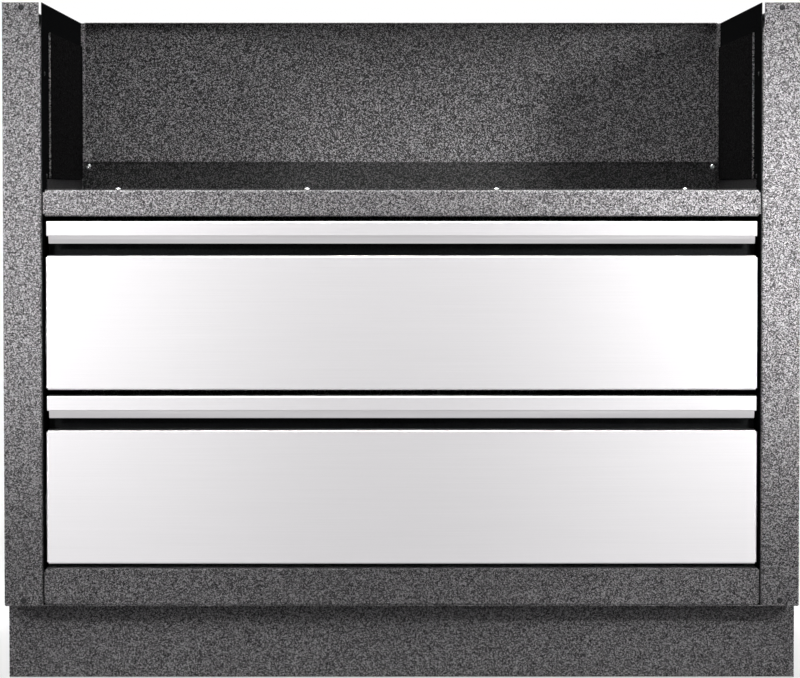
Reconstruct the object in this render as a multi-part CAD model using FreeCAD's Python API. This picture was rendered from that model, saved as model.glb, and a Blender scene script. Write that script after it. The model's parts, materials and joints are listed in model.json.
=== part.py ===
import FreeCAD, Part
import math
import os

# Under-grill cabinet: a folded-sheet carcass with an open grill bay over two full-width drawers.
# Millimetres. +Z up, the drawers open towards -Y, +X to the right of someone facing the drawers.
# The origin is on the ground, under the middle of the whole cabinet.

# Overall sizes
WIDTH = 1067.0
CARCASS_DEPTH = 604.0
STILE_HEIGHT = 807.0
PLINTH_HEIGHT = 105.0
GROUND_GAP = 3.0
TOE_RECESS = 60.0

# Sheet metal
SHEET = 1.2
RAIL_SHEET = 1.5
STAINLESS = 1.0
BEND = 1.6
INNER_BEND = 0.0
CORNER_RELIEF = 0.5
PANEL_GAP = 0.3

# Side panels, and the inner panels beside the bay and the drawers
STILE_WIDTH = 52.0
STILE_RETURN = 60.0
RETURN_TOP_NOTCH = 32.0
REAR_FLANGE_REACH = 25.0
TOP_FLANGE = 20.0
TOP_FLANGE_END = 14.0
INNER_PANEL_SETBACK = 2.0
INNER_PANEL_FLANGE = 22.0

# Rails, floor and toe kick
BAY_HEIGHT = 249.0
TOP_RAIL_HEIGHT = 36.0
BASE_RAIL_HEIGHT = 50.0
RAIL_UPPER_FLANGE = 42.0
RAIL_LOWER_FLANGE = 22.0
RAIL_END_TAB = 22.0
FLOOR_FLANGE = 22.0
SOFFIT_SETBACK = 1.0
TOE_KICK_FOOT = 18.0
REAR_RAIL_FLANGE = 24.0

# Back panel
BACK_MARGIN = 6.2
BACK_STEP = 3.0
BACK_TOP_FLANGE = 15.0
BACK_NOTCH_WIDTH = 10.0
BACK_NOTCH_HEIGHT = 20.0

# Grill tray on the top rail
TRAY_SIDE = 15.0
TRAY_REAR = 42.0
TRAY_SIDE_START = 56.0
TRAY_FRONT_SETBACK = 3.0

# Shield plates on the inner panels
SHIELD_START = 95.0
SHIELD_TOP_DROP = 36.0
SHIELD_STANDOFF = 2.6
SHIELD_SHEET = 0.8
SHIELD_BEND = 0.0
SHIELD_LIFT = 1.0
SHIELD_END_GAP = 4.2

# Drawer fronts and pulls, from the lowest drawer up
DRAWER_NAMES = ("lower", "upper")
FRONT_SIDE_GAP = 5.0
FRONT_TOP_GAP = 6.5
FRONT_BOTTOM_GAP = 5.5
FRONT_BETWEEN_GAP = 7.5
PULL_STRIP = 20.0
PULL_PROUD = 4.0
PULL_END_INSET = 1.8
PULL_REAR_LEG = 16.0
PULL_HEM = 9.0
HEM_BEND = 0.4
LIP_SHEET = 1.2
LIP_LEG = 12.0
LIP_DROP = 10.0
LIP_TILT = 24.0
LIP_END_INSET = 2.3
LIP_CORNER = 2.2
FINGER_GAP = 16.0
FINGER_DEPTH = 30.0

# Drawer boxes
BOX_RISE = 10.0
BOX_HEADROOM = 51.0
BOX_REAR_ROOM = 58.4
BOX_BOTTOM_FLANGE = 12.0
BOX_TOP_FLANGE = 8.0
BOX_CORNER_FLANGE = 15.0
BOX_PAN_EDGE = 12.0
INNER_FRONT_INSET = 2.0
INNER_FRONT_FLANGE = 9.0

# Telescopic ball-bearing runners
RUNNER_HEIGHT = 45.0
RUNNER_WIDTH = 12.7
RUNNER_SHEET = 1.2
RUNNER_BEND = 0.0
RUNNER_LIP = 3.3
RUNNER_CLEAR = 2.7
RUNNER_RISE = 60.0
RUNNER_FRONT_GAP = 3.0
RUNNER_REAR_GAP = 9.0
BALL_DIAMETER = 3.6
BALL_PLAY = 0.05
CAGE_SHEET = 0.6
CAGE_BEND = 0.0
CAGE_GAP = 0.4
CAGE_LENGTH = 150.0

# Levelling feet and their brackets
FOOT_STUD = 10.0
FOOT_STUD_LENGTH = 82.0
FOOT_PAD = 46.0
FOOT_PAD_HEIGHT = 15.0
FOOT_PAD_RIM = 7.0
FOOT_SOCKET_DEPTH = 9.0
THREAD_PLAY = 0.05
BRACKET_SHEET = 2.5
BRACKET_BEND = 2.5
BRACKET_HEIGHT = 62.0
BRACKET_REACH = 74.0
BRACKET_LENGTH = 60.0
BRACKET_LEVEL = 34.0
BRACKET_FRONT_GAP = 18.0
BRACKET_REAR_GAP = 40.0
STUD_FROM_WALL = 44.0
NUT_ACROSS = 17.0
NUT_HEIGHT = 8.0

# Screws
SCREW_HEAD = 7.6
SCREW_CROWN = 4.4
SCREW_RISE = 2.4
SCREW_SHANK = 4.0
SCREW_TAIL = 1.0
TRAY_SCREW_PITCH = 254.0
TRAY_SCREWS = 4
TRAY_SCREW_SETBACK = 26.0
TRAY_REAR_SCREW_EDGE = 11.0
TRAY_REAR_SCREW_DROP = 7.0
STILE_SCREW_EDGE = 26.0
STILE_SCREW_END = 6.5

# Planes and levels of the carcass, worked out from the sizes above
STILE_FOOT = GROUND_GAP + PLINTH_HEIGHT
TOP = STILE_FOOT + STILE_HEIGHT
FACE = PULL_PROUD - (PULL_PROUD + CARCASS_DEPTH + SCREW_TAIL) / 2
REAR = FACE + CARCASS_DEPTH
FLANGE_FACE = REAR - SHEET
BACK_FACE = FLANGE_FACE - SHEET
BAY_BACK_FACE = BACK_FACE - BACK_STEP
TOE_FACE = FACE + TOE_RECESS
WALL_IN = WIDTH / 2 - SHEET
STILE_EDGE = WIDTH / 2 - STILE_WIDTH
BAY_HALF = STILE_EDGE - PANEL_GAP - SHEET
TRAY_TOP = TOP - BAY_HEIGHT
RAIL_TOP = TRAY_TOP - SHEET
RAIL_FOOT = TRAY_TOP - TOP_RAIL_HEIGHT
BASE_RAIL_TOP = STILE_FOOT + BASE_RAIL_HEIGHT
FLOOR_TOP = BASE_RAIL_TOP - RAIL_SHEET

# Planes and levels of the drawers
FRONT_HALF = STILE_EDGE - FRONT_SIDE_GAP
PULL_HALF = FRONT_HALF - PULL_END_INSET
FRONTS_FOOT = BASE_RAIL_TOP + FRONT_BOTTOM_GAP
FRONTS_ROOM = RAIL_FOOT - FRONT_TOP_GAP - FRONTS_FOOT
FRONT_HEIGHT = (FRONTS_ROOM + FRONT_BETWEEN_GAP) / len(DRAWER_NAMES) - FRONT_BETWEEN_GAP
PANEL_HEIGHT = FRONT_HEIGHT - PULL_STRIP - LIP_DROP - FINGER_GAP
PULL_FACE = FACE - PULL_PROUD
HEM_DEPTH = 2 * (HEM_BEND + STAINLESS)
INNER_FRONT_FACE = FACE + FINGER_DEPTH
BOX_FRONT = INNER_FRONT_FACE + SHEET
BOX_BACK = BACK_FACE - BOX_REAR_ROOM
BOX_DEPTH = BOX_BACK - BOX_FRONT
BOX_HALF = BAY_HALF - RUNNER_WIDTH
BOX_SIDE_HEIGHT = FRONT_HEIGHT - BOX_RISE - BOX_HEADROOM

# Sections of the runners: depths are measured from the inner panel, heights from the runner's middle
RUNNER_FRONT = BOX_FRONT + RUNNER_FRONT_GAP
RUNNER_LENGTH = BOX_DEPTH - RUNNER_FRONT_GAP - RUNNER_REAR_GAP
RACE = BALL_DIAMETER + 2 * BALL_PLAY
CABINET_HALF = RUNNER_HEIGHT / 2
MIDDLE_HALF = CABINET_HALF - RUNNER_SHEET - RACE
DRAWER_HALF = MIDDLE_HALF - RUNNER_SHEET - RACE
CABINET_REACH = RUNNER_WIDTH - RUNNER_CLEAR
MIDDLE_WEB = RUNNER_SHEET + CAGE_SHEET + 2 * CAGE_GAP
MIDDLE_REACH = RUNNER_WIDTH - RUNNER_SHEET - 2 * BALL_PLAY
OUTER_CAGE_WEB = RUNNER_SHEET + CAGE_GAP
INNER_CAGE_WEB = MIDDLE_WEB + RUNNER_SHEET + CAGE_GAP
DRAWER_REACH = INNER_CAGE_WEB + CAGE_SHEET + CAGE_GAP

X_AXIS = FreeCAD.Vector(1, 0, 0)
Y_AXIS = FreeCAD.Vector(0, 1, 0)
Z_AXIS = FreeCAD.Vector(0, 0, 1)
ORIGIN = FreeCAD.Vector(0, 0, 0)
SPARE = 1.0
TINY = 1e-7


def block(x_range, y_range, z_range):
    """A straight-sided block between two limits on each axis."""
    sizes = [limits[1] - limits[0] for limits in (x_range, y_range, z_range)]
    corner = FreeCAD.Vector(x_range[0], y_range[0], z_range[0])
    return Part.makeBox(sizes[0], sizes[1], sizes[2], corner)


def joined(first, others):
    """One solid from the flat and the folds of the same sheet."""
    return first.fuse(others).removeSplitter()


def mirrored(shape):
    """The same piece on the left side of the cabinet."""
    return shape.mirror(ORIGIN, X_AXIS)


def both_sides(shapes):
    """Pieces of the right side and their mirror images as separate solids."""
    return shapes + [mirrored(shape) for shape in shapes]


def spaced(first, last, count):
    """Evenly spaced values from first to last."""
    return [first + (last - first) * i / (count - 1) for i in range(count)]


def plan_view(x, y):
    """Places a section that is drawn in plan."""
    return FreeCAD.Vector(x, y, 0)


def side_view(y, z):
    """Places a section that is drawn from the side."""
    return FreeCAD.Vector(0, y, z)


def front_view(x, z):
    """Places a section that is drawn from the front."""
    return FreeCAD.Vector(x, 0, z)


def runner_view(depth, height):
    """Places a section of the right runners, drawn from the inner panel inwards."""
    return FreeCAD.Vector(BAY_HALF - depth, 0, height)


def folded_section(path, sheet, bends, place):
    """The face of a folded sheet: the path is one skin, and the sheet lies to the left of it.

    bends gives the inside radius of each fold, or 0 for a sharp one.
    """
    points = [FreeCAD.Vector(u, w, 0) for u, w in path]
    runs = [(points[i + 1] - points[i]).normalize() for i in range(len(points) - 1)]
    lefts = [FreeCAD.Vector(-run.y, run.x, 0) for run in runs]
    skin = [[points[0]]]
    inner = [[points[0] + lefts[0] * sheet]]
    for i in range(1, len(points) - 1):
        if bends[i - 1] == 0:
            mitre = (lefts[i - 1] + lefts[i]) * (sheet / (1 + runs[i - 1].dot(runs[i])))
            skin.append([points[i]])
            inner.append([points[i] + mitre])
            continue
        turn = math.atan2(runs[i - 1].cross(runs[i]).z, runs[i - 1].dot(runs[i]))
        side = math.copysign(1.0, turn)
        radius = bends[i - 1] + sheet if turn > 0 else bends[i - 1]
        reach = radius * math.tan(abs(turn) / 2)
        start = points[i] - runs[i - 1] * reach
        end = points[i] + runs[i] * reach
        centre = start + lefts[i - 1] * (side * radius)
        spoke = (points[i] - centre).normalize()
        skin.append([start, centre + spoke * radius, end])
        inner_middle = centre + spoke * (radius - side * sheet)
        inner.append([start + lefts[i - 1] * sheet, inner_middle, end + lefts[i] * sheet])
    skin.append([points[-1]])
    inner.append([points[-1] + lefts[-1] * sheet])
    stations = skin + [list(reversed(stop)) for stop in reversed(inner)]
    edges = []
    for stop, following in zip(stations, stations[1:] + stations[:1]):
        spots = [place(spot.x, spot.y) for spot in stop]
        if len(spots) == 3:
            edges.append(Part.Arc(spots[0], spots[1], spots[2]).toShape())
        ahead = place(following[0].x, following[0].y)
        if spots[-1].distanceToPoint(ahead) > TINY:
            edges.append(Part.LineSegment(spots[-1], ahead).toShape())
    return Part.Face(Part.Wire(edges))


def folded(path, sheet, bends, place, start, run):
    """A folded sheet of constant section, moved to its start and drawn out along its run."""
    section = folded_section(path, sheet, bends, place)
    section.translate(start)
    return section.extrude(run)


def fold_margin(sheet, bend):
    """How far a folded edge takes a flat sheet in, with room for the next edge at a shared corner."""
    return max(bend, CORNER_RELIEF) + sheet


def edge_strip(foot, outward, inward, run, reach, sheet, bend):
    """One folded edge of a flat sheet: the bend and the upright beyond it."""
    margin = fold_margin(sheet, bend)

    def place(u, w):
        return foot + outward * u + inward * w

    section = folded_section([(0, 0), (margin, 0), (margin, reach)], sheet, [bend], place)
    return section.extrude(run)


def pan(corner, along, across, inward, size, sheet, bend, edges):
    """A flat sheet with folded edges, its outer skin spanning size from the corner, along by across.

    edges names the folded edges and how far each one reaches inward from the outer skin.
    """
    margin = fold_margin(sheet, bend)
    trims = {name: margin if name in edges else 0.0 for name in ("start", "end", "low", "high")}
    a_low, a_high = trims["start"], size[0] - trims["end"]
    b_low, b_high = trims["low"], size[1] - trims["high"]
    corners = ((a_low, b_low), (a_high, b_low), (a_high, b_high), (a_low, b_high))
    spots = [corner + along * a + across * b for a, b in corners]
    flat = Part.Face(Part.makePolygon(spots + spots[:1])).extrude(inward * sheet)
    sides = {
        "start": (spots[0], along * -1, across * (b_high - b_low)),
        "end": (spots[1], along, across * (b_high - b_low)),
        "low": (spots[0], across * -1, along * (a_high - a_low)),
        "high": (spots[3], across, along * (a_high - a_low)),
    }
    strips = []
    for name, reach in edges.items():
        foot, outward, run = sides[name]
        strips.append(edge_strip(foot, outward, inward, run, reach, sheet, bend))
    return joined(flat, strips)


def turned(outline, spot, axis):
    """A piece turned about its own axis, from points as radius and height."""
    points = [FreeCAD.Vector(radius, 0, height) for radius, height in outline]
    piece = Part.Face(Part.makePolygon(points + points[:1])).revolve(ORIGIN, Z_AXIS, 360)
    piece.Placement = FreeCAD.Placement(spot, FreeCAD.Rotation(Z_AXIS, axis))
    return piece


def hexagon(centre, across):
    """A six-sided outline in plan, with the given size across its flats."""
    reach = across / math.sqrt(3)
    turns = spaced(0, 2 * math.pi, 7)
    return Part.makePolygon([centre + FreeCAD.Vector(reach * math.cos(turn), reach * math.sin(turn), 0)
                             for turn in turns])


def screws(spots, axis, grip):
    """Thread-forming screws seated on the spots: heads rise along the axis, and shanks fill the grip."""
    tip = -(grip + SCREW_TAIL)
    outline = [(0, tip), (SCREW_SHANK / 2, tip), (SCREW_SHANK / 2, 0), (SCREW_HEAD / 2, 0),
               (SCREW_CROWN / 2, SCREW_RISE), (0, SCREW_RISE)]
    return [turned(outline, spot, axis) for spot in spots]


def tray_screw_spots():
    """Screws along the front of the tray, into the top rail."""
    reach = TRAY_SCREW_PITCH * (TRAY_SCREWS - 1) / 2
    return [FreeCAD.Vector(x, FACE + TRAY_SCREW_SETBACK, TRAY_TOP) for x in spaced(-reach, reach, TRAY_SCREWS)]


def tray_rear_screw_spots():
    """The screw at the right end of the tray's rear upstand, into the back panel and the rear flange."""
    height = RAIL_TOP + TRAY_REAR - TRAY_REAR_SCREW_DROP
    return [FreeCAD.Vector(BAY_HALF - TRAY_REAR_SCREW_EDGE, BACK_FACE - SHEET, height)]


def stile_screw_spots():
    """One screw near the top and one near the foot of the right stile."""
    x = WIDTH / 2 - STILE_SCREW_EDGE
    return [FreeCAD.Vector(x, FACE, z) for z in (TOP - STILE_SCREW_END, STILE_FOOT + STILE_SCREW_END)]


def side_panel():
    """The right outer side: stile return, stile, wall and rear flange, with a top flange and a toe notch."""
    path = [(STILE_EDGE, FACE + STILE_RETURN), (STILE_EDGE, FACE), (WIDTH / 2, FACE), (WIDTH / 2, REAR),
            (BAY_HALF - REAR_FLANGE_REACH, REAR)]
    shell = folded(path, SHEET, [BEND] * 3, plan_view, Z_AXIS * GROUND_GAP, Z_AXIS * (TOP - GROUND_GAP))
    margin = fold_margin(SHEET, BEND)
    flange_start = FACE + TOP_FLANGE_END
    flange_end = REAR - TOP_FLANGE_END
    notch = block((STILE_EDGE - SPARE, STILE_EDGE + margin), (FACE - SPARE, FACE + STILE_RETURN + SPARE),
                  (TOP - RETURN_TOP_NOTCH, TOP + SPARE))
    toe = block((STILE_EDGE - SPARE, WIDTH / 2 + SPARE), (FACE - SPARE, TOE_FACE), (0, STILE_FOOT))
    rim = block((WALL_IN - SPARE, WIDTH / 2 + SPARE), (flange_start, flange_end), (TOP - margin, TOP + SPARE))
    shell = shell.cut([notch, toe, rim])
    flange = edge_strip(FreeCAD.Vector(WIDTH / 2, flange_start, TOP - margin), Z_AXIS, X_AXIS * -1,
                        Y_AXIS * (flange_end - flange_start), TOP_FLANGE, SHEET, BEND)
    return joined(shell, [flange])


def inner_panel():
    """The right inner side: a wall from the toe kick to the top, with a rear flange into the hollow side."""
    path = [(BAY_HALF + INNER_PANEL_FLANGE, FLANGE_FACE), (BAY_HALF, FLANGE_FACE),
            (BAY_HALF, FACE + INNER_PANEL_SETBACK)]
    return folded(path, SHEET, [BEND], plan_view, Z_AXIS * STILE_FOOT, Z_AXIS * STILE_HEIGHT)


def shield_plate():
    """The right shield: a shallow pan standing off the inner panel, above the tray's side."""
    foot = RAIL_TOP + TRAY_SIDE + SHIELD_LIFT
    corner = FreeCAD.Vector(BAY_HALF - SHIELD_STANDOFF, FACE + SHIELD_START, foot)
    size = (BAY_BACK_FACE - SHIELD_END_GAP - corner.y, TOP - SHIELD_TOP_DROP - foot)
    edges = {name: SHIELD_STANDOFF for name in ("start", "end", "low", "high")}
    return pan(corner, Y_AXIS, Z_AXIS, X_AXIS, size, SHIELD_SHEET, SHIELD_BEND, edges)


def back_panel():
    """The back of the drawers and the bay: it steps forward over the tray's upstand, with a notch at each end."""
    half = BAY_HALF - BACK_MARGIN
    upstand_top = RAIL_TOP + TRAY_REAR
    step_top = upstand_top + PANEL_GAP + SHEET
    bay_rear = BAY_BACK_FACE + SHEET
    path = [(FLANGE_FACE, FLOOR_TOP), (FLANGE_FACE, step_top), (bay_rear, step_top), (bay_rear, TOP),
            (bay_rear - BACK_TOP_FLANGE, TOP)]
    sheet = folded(path, SHEET, [INNER_BEND, INNER_BEND, BEND], side_view, X_AXIS * -half, X_AXIS * (2 * half))
    notch = block((half - BACK_NOTCH_WIDTH, half + SPARE), (BAY_BACK_FACE - SPARE, FLANGE_FACE + SPARE),
                  (upstand_top, upstand_top + BACK_NOTCH_HEIGHT))
    return sheet.cut(both_sides([notch]))


def grill_tray():
    """The floor of the bay: a tray with low sides and a taller rear upstand, resting on the top rail."""
    corner = FreeCAD.Vector(-BAY_HALF, FACE + TRAY_FRONT_SETBACK, RAIL_TOP)
    size = (2 * BAY_HALF, BACK_FACE - corner.y)
    edges = {"start": TRAY_SIDE, "end": TRAY_SIDE, "high": TRAY_REAR}
    tray = pan(corner, X_AXIS, Y_AXIS, Z_AXIS, size, SHEET, BEND, edges)
    relief = block((BAY_HALF - BEND - SHEET, BAY_HALF + SPARE), (FACE, FACE + TRAY_SIDE_START),
                   (RAIL_TOP - SPARE, RAIL_TOP + TRAY_SIDE + SPARE))
    return tray.cut(both_sides([relief]))


def front_rail(foot, height):
    """A rail across the front between the inner panels: a channel with end tabs."""
    corner = FreeCAD.Vector(-BAY_HALF, FACE, foot)
    edges = {"start": RAIL_END_TAB, "end": RAIL_END_TAB, "low": RAIL_LOWER_FLANGE, "high": RAIL_UPPER_FLANGE}
    return pan(corner, X_AXIS, Z_AXIS, Y_AXIS, (2 * BAY_HALF, height), RAIL_SHEET, BEND, edges)


def floor_panel():
    """The floor under the lower drawer, folded down at its front and sides."""
    corner = FreeCAD.Vector(-BAY_HALF, FACE + RAIL_END_TAB + PANEL_GAP, FLOOR_TOP)
    size = (2 * BAY_HALF, BACK_FACE - corner.y)
    edges = {"start": FLOOR_FLANGE, "end": FLOOR_FLANGE, "low": FLOOR_FLANGE}
    return pan(corner, X_AXIS, Y_AXIS, Z_AXIS * -1, size, SHEET, INNER_BEND, edges)


def toe_kick():
    """The recessed plinth front: a soffit under the stiles and base rail, the upright and a foot."""
    path = [(FACE + SOFFIT_SETBACK, STILE_FOOT - SHEET), (TOE_FACE, STILE_FOOT - SHEET), (TOE_FACE, GROUND_GAP),
            (TOE_FACE + TOE_KICK_FOOT, GROUND_GAP)]
    return folded(path, SHEET, [BEND] * 2, side_view, X_AXIS * -WALL_IN, X_AXIS * (2 * WALL_IN))


def rear_base_rail():
    """The rail across the back of the plinth, under the floor panel."""
    half = BAY_HALF - SHEET - PANEL_GAP
    corner = FreeCAD.Vector(-half, FLANGE_FACE, GROUND_GAP)
    size = (2 * half, FLOOR_TOP - SHEET - GROUND_GAP)
    return pan(corner, X_AXIS, Z_AXIS, Y_AXIS * -1, size, SHEET, INNER_BEND,
               {"low": REAR_RAIL_FLANGE, "high": REAR_RAIL_FLANGE})


def foot_stations():
    """The names of the right feet and where each stands, front to rear."""
    front = TOE_FACE + SHEET + BRACKET_FRONT_GAP + BRACKET_LENGTH / 2
    rear = BACK_FACE - BRACKET_REAR_GAP - BRACKET_LENGTH / 2
    return {"front": front, "rear": rear}


def foot_bracket(y):
    """A right bracket on the side panel's wall, with the weld nut that the foot's stud turns in."""
    path = [(WALL_IN - BRACKET_REACH, BRACKET_LEVEL), (WALL_IN, BRACKET_LEVEL),
            (WALL_IN, BRACKET_LEVEL + BRACKET_HEIGHT)]
    angle = folded(path, BRACKET_SHEET, [BRACKET_BEND], front_view, Y_AXIS * (y - BRACKET_LENGTH / 2),
                   Y_AXIS * BRACKET_LENGTH)
    seat = FreeCAD.Vector(WALL_IN - STUD_FROM_WALL, y, BRACKET_LEVEL)
    nut_seat = seat + Z_AXIS * BRACKET_SHEET
    nut = Part.Face(hexagon(nut_seat, NUT_ACROSS)).extrude(Z_AXIS * NUT_HEIGHT)
    bore = Part.makeCylinder(FOOT_STUD / 2 + THREAD_PLAY, BRACKET_SHEET + NUT_HEIGHT, seat)
    return angle.fuse(nut).cut(bore)


def foot_stud(y):
    """A right foot's stud, standing on the floor of its pad's socket."""
    foot = FreeCAD.Vector(WALL_IN - STUD_FROM_WALL, y, FOOT_PAD_HEIGHT - FOOT_SOCKET_DEPTH)
    return Part.makeCylinder(FOOT_STUD / 2, FOOT_STUD_LENGTH, foot)


def foot_pad(y):
    """A right foot's pad: a six-sided base, chamfered up to the neck round its socket."""
    foot = FreeCAD.Vector(WALL_IN - STUD_FROM_WALL, y, 0)
    base = Part.Face(hexagon(foot, FOOT_PAD)).extrude(Z_AXIS * FOOT_PAD_HEIGHT)
    top_edges = [edge for edge in base.Edges if edge.BoundBox.ZMin > FOOT_PAD_RIM]
    pad = base.makeChamfer(FOOT_PAD_HEIGHT - FOOT_PAD_RIM, top_edges)
    socket_floor = foot + Z_AXIS * (FOOT_PAD_HEIGHT - FOOT_SOCKET_DEPTH)
    return pad.cut(Part.makeCylinder(FOOT_STUD / 2 + THREAD_PLAY, FOOT_SOCKET_DEPTH + SPARE, socket_floor))


def front_panel(front_foot):
    """A stainless drawer front, folded back on all four sides to the inner front."""
    corner = FreeCAD.Vector(-FRONT_HALF, FACE, front_foot)
    edges = {name: FINGER_DEPTH for name in ("start", "end", "low", "high")}
    return pan(corner, X_AXIS, Z_AXIS, Y_AXIS, (2 * FRONT_HALF, PANEL_HEIGHT), STAINLESS, BEND, edges)


def pull_cap(front_top):
    """The pull: rear leg, top, front strip and a hem folded up inside the strip's lower edge."""
    strip_foot = front_top - PULL_STRIP
    hem_back = PULL_FACE + HEM_DEPTH
    path = [(INNER_FRONT_FACE, front_top - PULL_REAR_LEG), (INNER_FRONT_FACE, front_top), (PULL_FACE, front_top),
            (PULL_FACE, strip_foot), (hem_back, strip_foot), (hem_back, strip_foot + PULL_HEM)]
    bends = [BEND, BEND, HEM_BEND, HEM_BEND]
    return folded(path, STAINLESS, bends, side_view, X_AXIS * -PULL_HALF, X_AXIS * (2 * PULL_HALF))


def pull_lip(front_top):
    """The grip behind the pull's hem: a leg up inside it, and a lip that leans inwards below the strip."""
    half = PULL_HALF - LIP_END_INSET
    strip_foot = front_top - PULL_STRIP
    lip_foot = strip_foot - LIP_DROP
    hem_back = PULL_FACE + HEM_DEPTH
    lip_back = hem_back + LIP_DROP * math.tan(math.radians(LIP_TILT))
    path = [(hem_back, strip_foot + LIP_LEG), (hem_back, strip_foot), (lip_back, lip_foot)]
    lip = folded(path, LIP_SHEET, [BEND], side_view, X_AXIS * -half, X_AXIS * (2 * half))
    blank = block((-half, half), (PULL_FACE, INNER_FRONT_FACE), (lip_foot - SPARE, front_top))
    corners = [edge for edge in blank.Edges
               if edge.BoundBox.YLength > TINY and edge.BoundBox.ZMax < strip_foot - LIP_DROP]
    return lip.common(blank.makeFillet(LIP_CORNER, corners))


def inner_front(front_foot, front_top):
    """The wall behind the finger gap, which carries the front panel, the pull and the drawer's sides."""
    half = FRONT_HALF - INNER_FRONT_INSET
    corner = FreeCAD.Vector(-half, INNER_FRONT_FACE, front_foot + INNER_FRONT_INSET)
    size = (2 * half, front_top - front_foot - 2 * INNER_FRONT_INSET)
    return pan(corner, X_AXIS, Z_AXIS, Y_AXIS, size, SHEET, BEND,
               {"low": INNER_FRONT_FLANGE, "high": INNER_FRONT_FLANGE})


def box_side(box_foot):
    """A drawer's right side: folded in at the front, along the foot and along the top."""
    corner = FreeCAD.Vector(BOX_HALF, BOX_FRONT, box_foot)
    edges = {"start": BOX_CORNER_FLANGE, "low": BOX_BOTTOM_FLANGE, "high": BOX_TOP_FLANGE}
    return pan(corner, Y_AXIS, Z_AXIS, X_AXIS * -1, (BOX_DEPTH, BOX_SIDE_HEIGHT), SHEET, BEND, edges)


def box_bottom(box_foot):
    """A drawer's bottom, resting on the sides' lower folds, turned up at the front and back."""
    half = BOX_HALF - SHEET - BEND - PANEL_GAP
    corner = FreeCAD.Vector(-half, BOX_FRONT + SHEET, box_foot + SHEET)
    return pan(corner, X_AXIS, Y_AXIS, Z_AXIS, (2 * half, BOX_DEPTH - 2 * SHEET), SHEET, INNER_BEND,
               {"low": BOX_PAN_EDGE, "high": BOX_PAN_EDGE})


def box_back(box_foot):
    """A drawer's back, folded forward inside the sides and along its top."""
    half = BOX_HALF - SHEET
    corner = FreeCAD.Vector(-half, BOX_BACK, box_foot + SHEET + BEND)
    edges = {"start": BOX_CORNER_FLANGE, "end": BOX_CORNER_FLANGE, "high": BOX_TOP_FLANGE}
    size = (2 * half, BOX_SIDE_HEIGHT - 2 * (SHEET + BEND))
    return pan(corner, X_AXIS, Z_AXIS, Y_AXIS * -1, size, SHEET, INNER_BEND, edges)


def runner_member(path, level):
    """A right runner member of the given section, at its level."""
    start = FreeCAD.Vector(0, RUNNER_FRONT, level)
    return folded(path, RUNNER_SHEET, [RUNNER_BEND] * (len(path) - 2), runner_view, start, Y_AXIS * RUNNER_LENGTH)


def cabinet_member(level):
    """The member fixed to the inner panel: a channel whose lips hook over the outer balls."""
    lip = CABINET_HALF - RUNNER_LIP
    path = [(CABINET_REACH, lip), (CABINET_REACH, CABINET_HALF), (0, CABINET_HALF), (0, -CABINET_HALF),
            (CABINET_REACH, -CABINET_HALF), (CABINET_REACH, -lip)]
    return runner_member(path, level)


def middle_member(level):
    """The member that runs between the other two on both rows of balls."""
    lip = MIDDLE_HALF - RUNNER_LIP
    path = [(MIDDLE_REACH, lip), (MIDDLE_REACH, MIDDLE_HALF), (MIDDLE_WEB, MIDDLE_HALF), (MIDDLE_WEB, -MIDDLE_HALF),
            (MIDDLE_REACH, -MIDDLE_HALF), (MIDDLE_REACH, -lip)]
    return runner_member(path, level)


def drawer_member(level):
    """The member screwed to the drawer's side, its flanges between the inner balls."""
    path = [(DRAWER_REACH, -DRAWER_HALF), (RUNNER_WIDTH, -DRAWER_HALF), (RUNNER_WIDTH, DRAWER_HALF),
            (DRAWER_REACH, DRAWER_HALF)]
    return runner_member(path, level)


def ball_cage(level, web, lip_face, row):
    """The strip that spaces the balls of a right runner, from its upper row to its lower one."""
    middle = RUNNER_FRONT + RUNNER_LENGTH / 2
    skin = row + CAGE_SHEET / 2
    tip = lip_face - CAGE_GAP
    path = [(tip, skin), (web, skin), (web, -skin), (tip, -skin)]
    start = FreeCAD.Vector(0, middle - CAGE_LENGTH / 2, level)
    return folded(path, CAGE_SHEET, [CAGE_BEND] * 2, runner_view, start, Y_AXIS * CAGE_LENGTH)


def add_pair(parts, name, shape):
    """Adds a right piece and its left mirror image under their own names."""
    parts["right_" + name] = shape
    parts["left_" + name] = mirrored(shape)


def build_carcass():
    """The fixed cabinet and its screws."""
    parts = {}
    add_pair(parts, "side_panel", side_panel())
    add_pair(parts, "inner_panel", inner_panel())
    add_pair(parts, "shield_plate", shield_plate())
    parts["back_panel"] = back_panel()
    parts["grill_tray"] = grill_tray()
    parts["top_rail"] = front_rail(RAIL_FOOT, RAIL_TOP - RAIL_FOOT)
    parts["base_rail"] = front_rail(STILE_FOOT, BASE_RAIL_HEIGHT)
    parts["floor_panel"] = floor_panel()
    parts["toe_kick"] = toe_kick()
    parts["rear_base_rail"] = rear_base_rail()
    tray_screws = screws(tray_screw_spots(), Z_AXIS, SHEET + RAIL_SHEET)
    tray_screws += both_sides(screws(tray_rear_screw_spots(), Y_AXIS * -1, 3 * SHEET))
    parts["tray_screws"] = Part.makeCompound(tray_screws)
    parts["stile_screws"] = Part.makeCompound(both_sides(screws(stile_screw_spots(), Y_AXIS * -1, SHEET)))
    return parts


def build_feet():
    """The brackets with their nuts, and each foot's stud and pad."""
    parts = {}
    brackets = []
    for end, y in foot_stations().items():
        brackets.append(foot_bracket(y))
        stud = foot_stud(y)
        pad = foot_pad(y)
        parts[end + "_right_foot_stud"] = stud
        parts[end + "_right_foot_pad"] = pad
        parts[end + "_left_foot_stud"] = mirrored(stud)
        parts[end + "_left_foot_pad"] = mirrored(pad)
    parts["foot_brackets"] = Part.makeCompound(both_sides(brackets))
    return parts


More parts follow.
